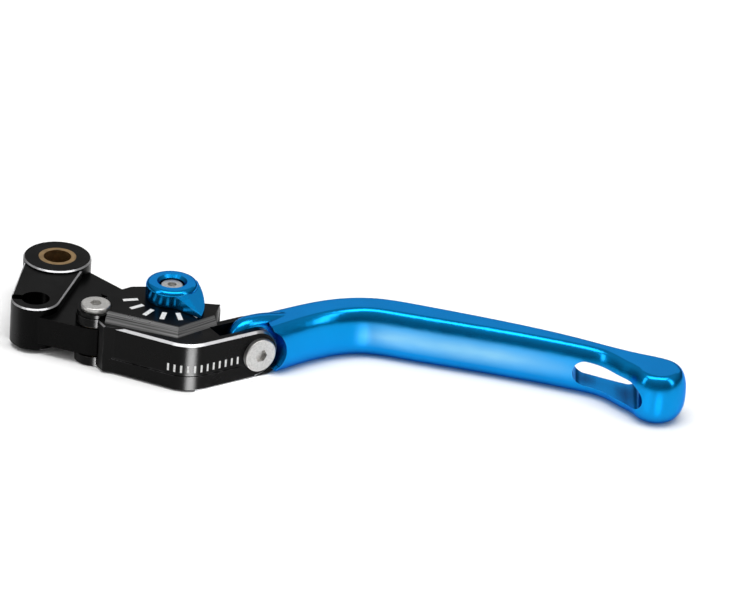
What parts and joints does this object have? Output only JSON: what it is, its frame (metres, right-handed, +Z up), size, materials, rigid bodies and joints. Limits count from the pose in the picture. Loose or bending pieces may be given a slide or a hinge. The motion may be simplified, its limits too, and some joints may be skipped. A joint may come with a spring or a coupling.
{
  "type": "motorcycle clutch lever",
  "caption": "Folding clutch lever with an adjustable reach: a perch adapter, a hinged body with a cam selector and a bent finger blade with a windowed tip.",
  "frame": {"origin": "axis of the perch pivot bore at mid height of the eye", "axes": "+Z up along the pivot axis, +X outboard towards the tip of the blade, -Y to the front, away from the handlebar"},
  "size_m": [0.1946, 0.0593, 0.0218],
  "materials": {
    "blue_anodised": "satin gloss anodised blue",
    "black_anodised": "satin anodised black, machined facets",
    "bright_steel": "turned zinc-plated steel",
    "hardened_steel": "ground hardened steel",
    "spring_steel": "drawn spring wire",
    "bronze": "oiled sintered bronze",
    "white_print": "thin matt white print for the index marks"
  },
  "bodies": {
    "perch_side": {"adapter": "black_anodised", "pivot_bush": "bronze", "hinge_bush": "bronze", "cam_pad": "hardened_steel", "hinge_washers": "bronze", "reach_spring": "spring_steel"},
    "lever": {"lever_body": "black_anodised", "hinge_screw": "bright_steel", "hinge_nut": "bright_steel", "selector_bush": "bronze", "detent_ball": "hardened_steel", "detent_spring": "spring_steel", "fold_sleeve": "hardened_steel", "fold_spring": "spring_steel", "fold_screw": "bright_steel", "fold_nut": "bright_steel"},
    "selector": {"selector_knob": "blue_anodised", "selector_screw": "bright_steel", "selector_cam": "hardened_steel", "cam_clip": "spring_steel"},
    "finger_blade": {"blade": "blue_anodised"}
  },
  "joints": [
    {"name": "reach_adjust", "type": "hinge", "parent": "perch_side", "child": "lever", "pos_m": [0.0141, -0.0325, 0], "axis": [0, 0, 1], "range_deg": [0, 8]},
    {"name": "selector_turn", "type": "hinge", "parent": "lever", "child": "selector", "pos_m": [0.0351, -0.0234, 0], "axis": [0, 0, 1], "range_deg": [-110, 0]},
    {"name": "fold_up", "type": "hinge", "parent": "lever", "child": "finger_blade", "pos_m": [0.0616, -0.0369, 0], "axis": [0.5736, -0.8192, 0], "range_deg": [0, 50], "stiffness_Nm_per_rad": 0.1, "springref_deg": -34.38}
  ],
  "couplings": [
    {"joint": "selector_turn", "follows": "reach_adjust", "ratio": -13.75}
  ]
}
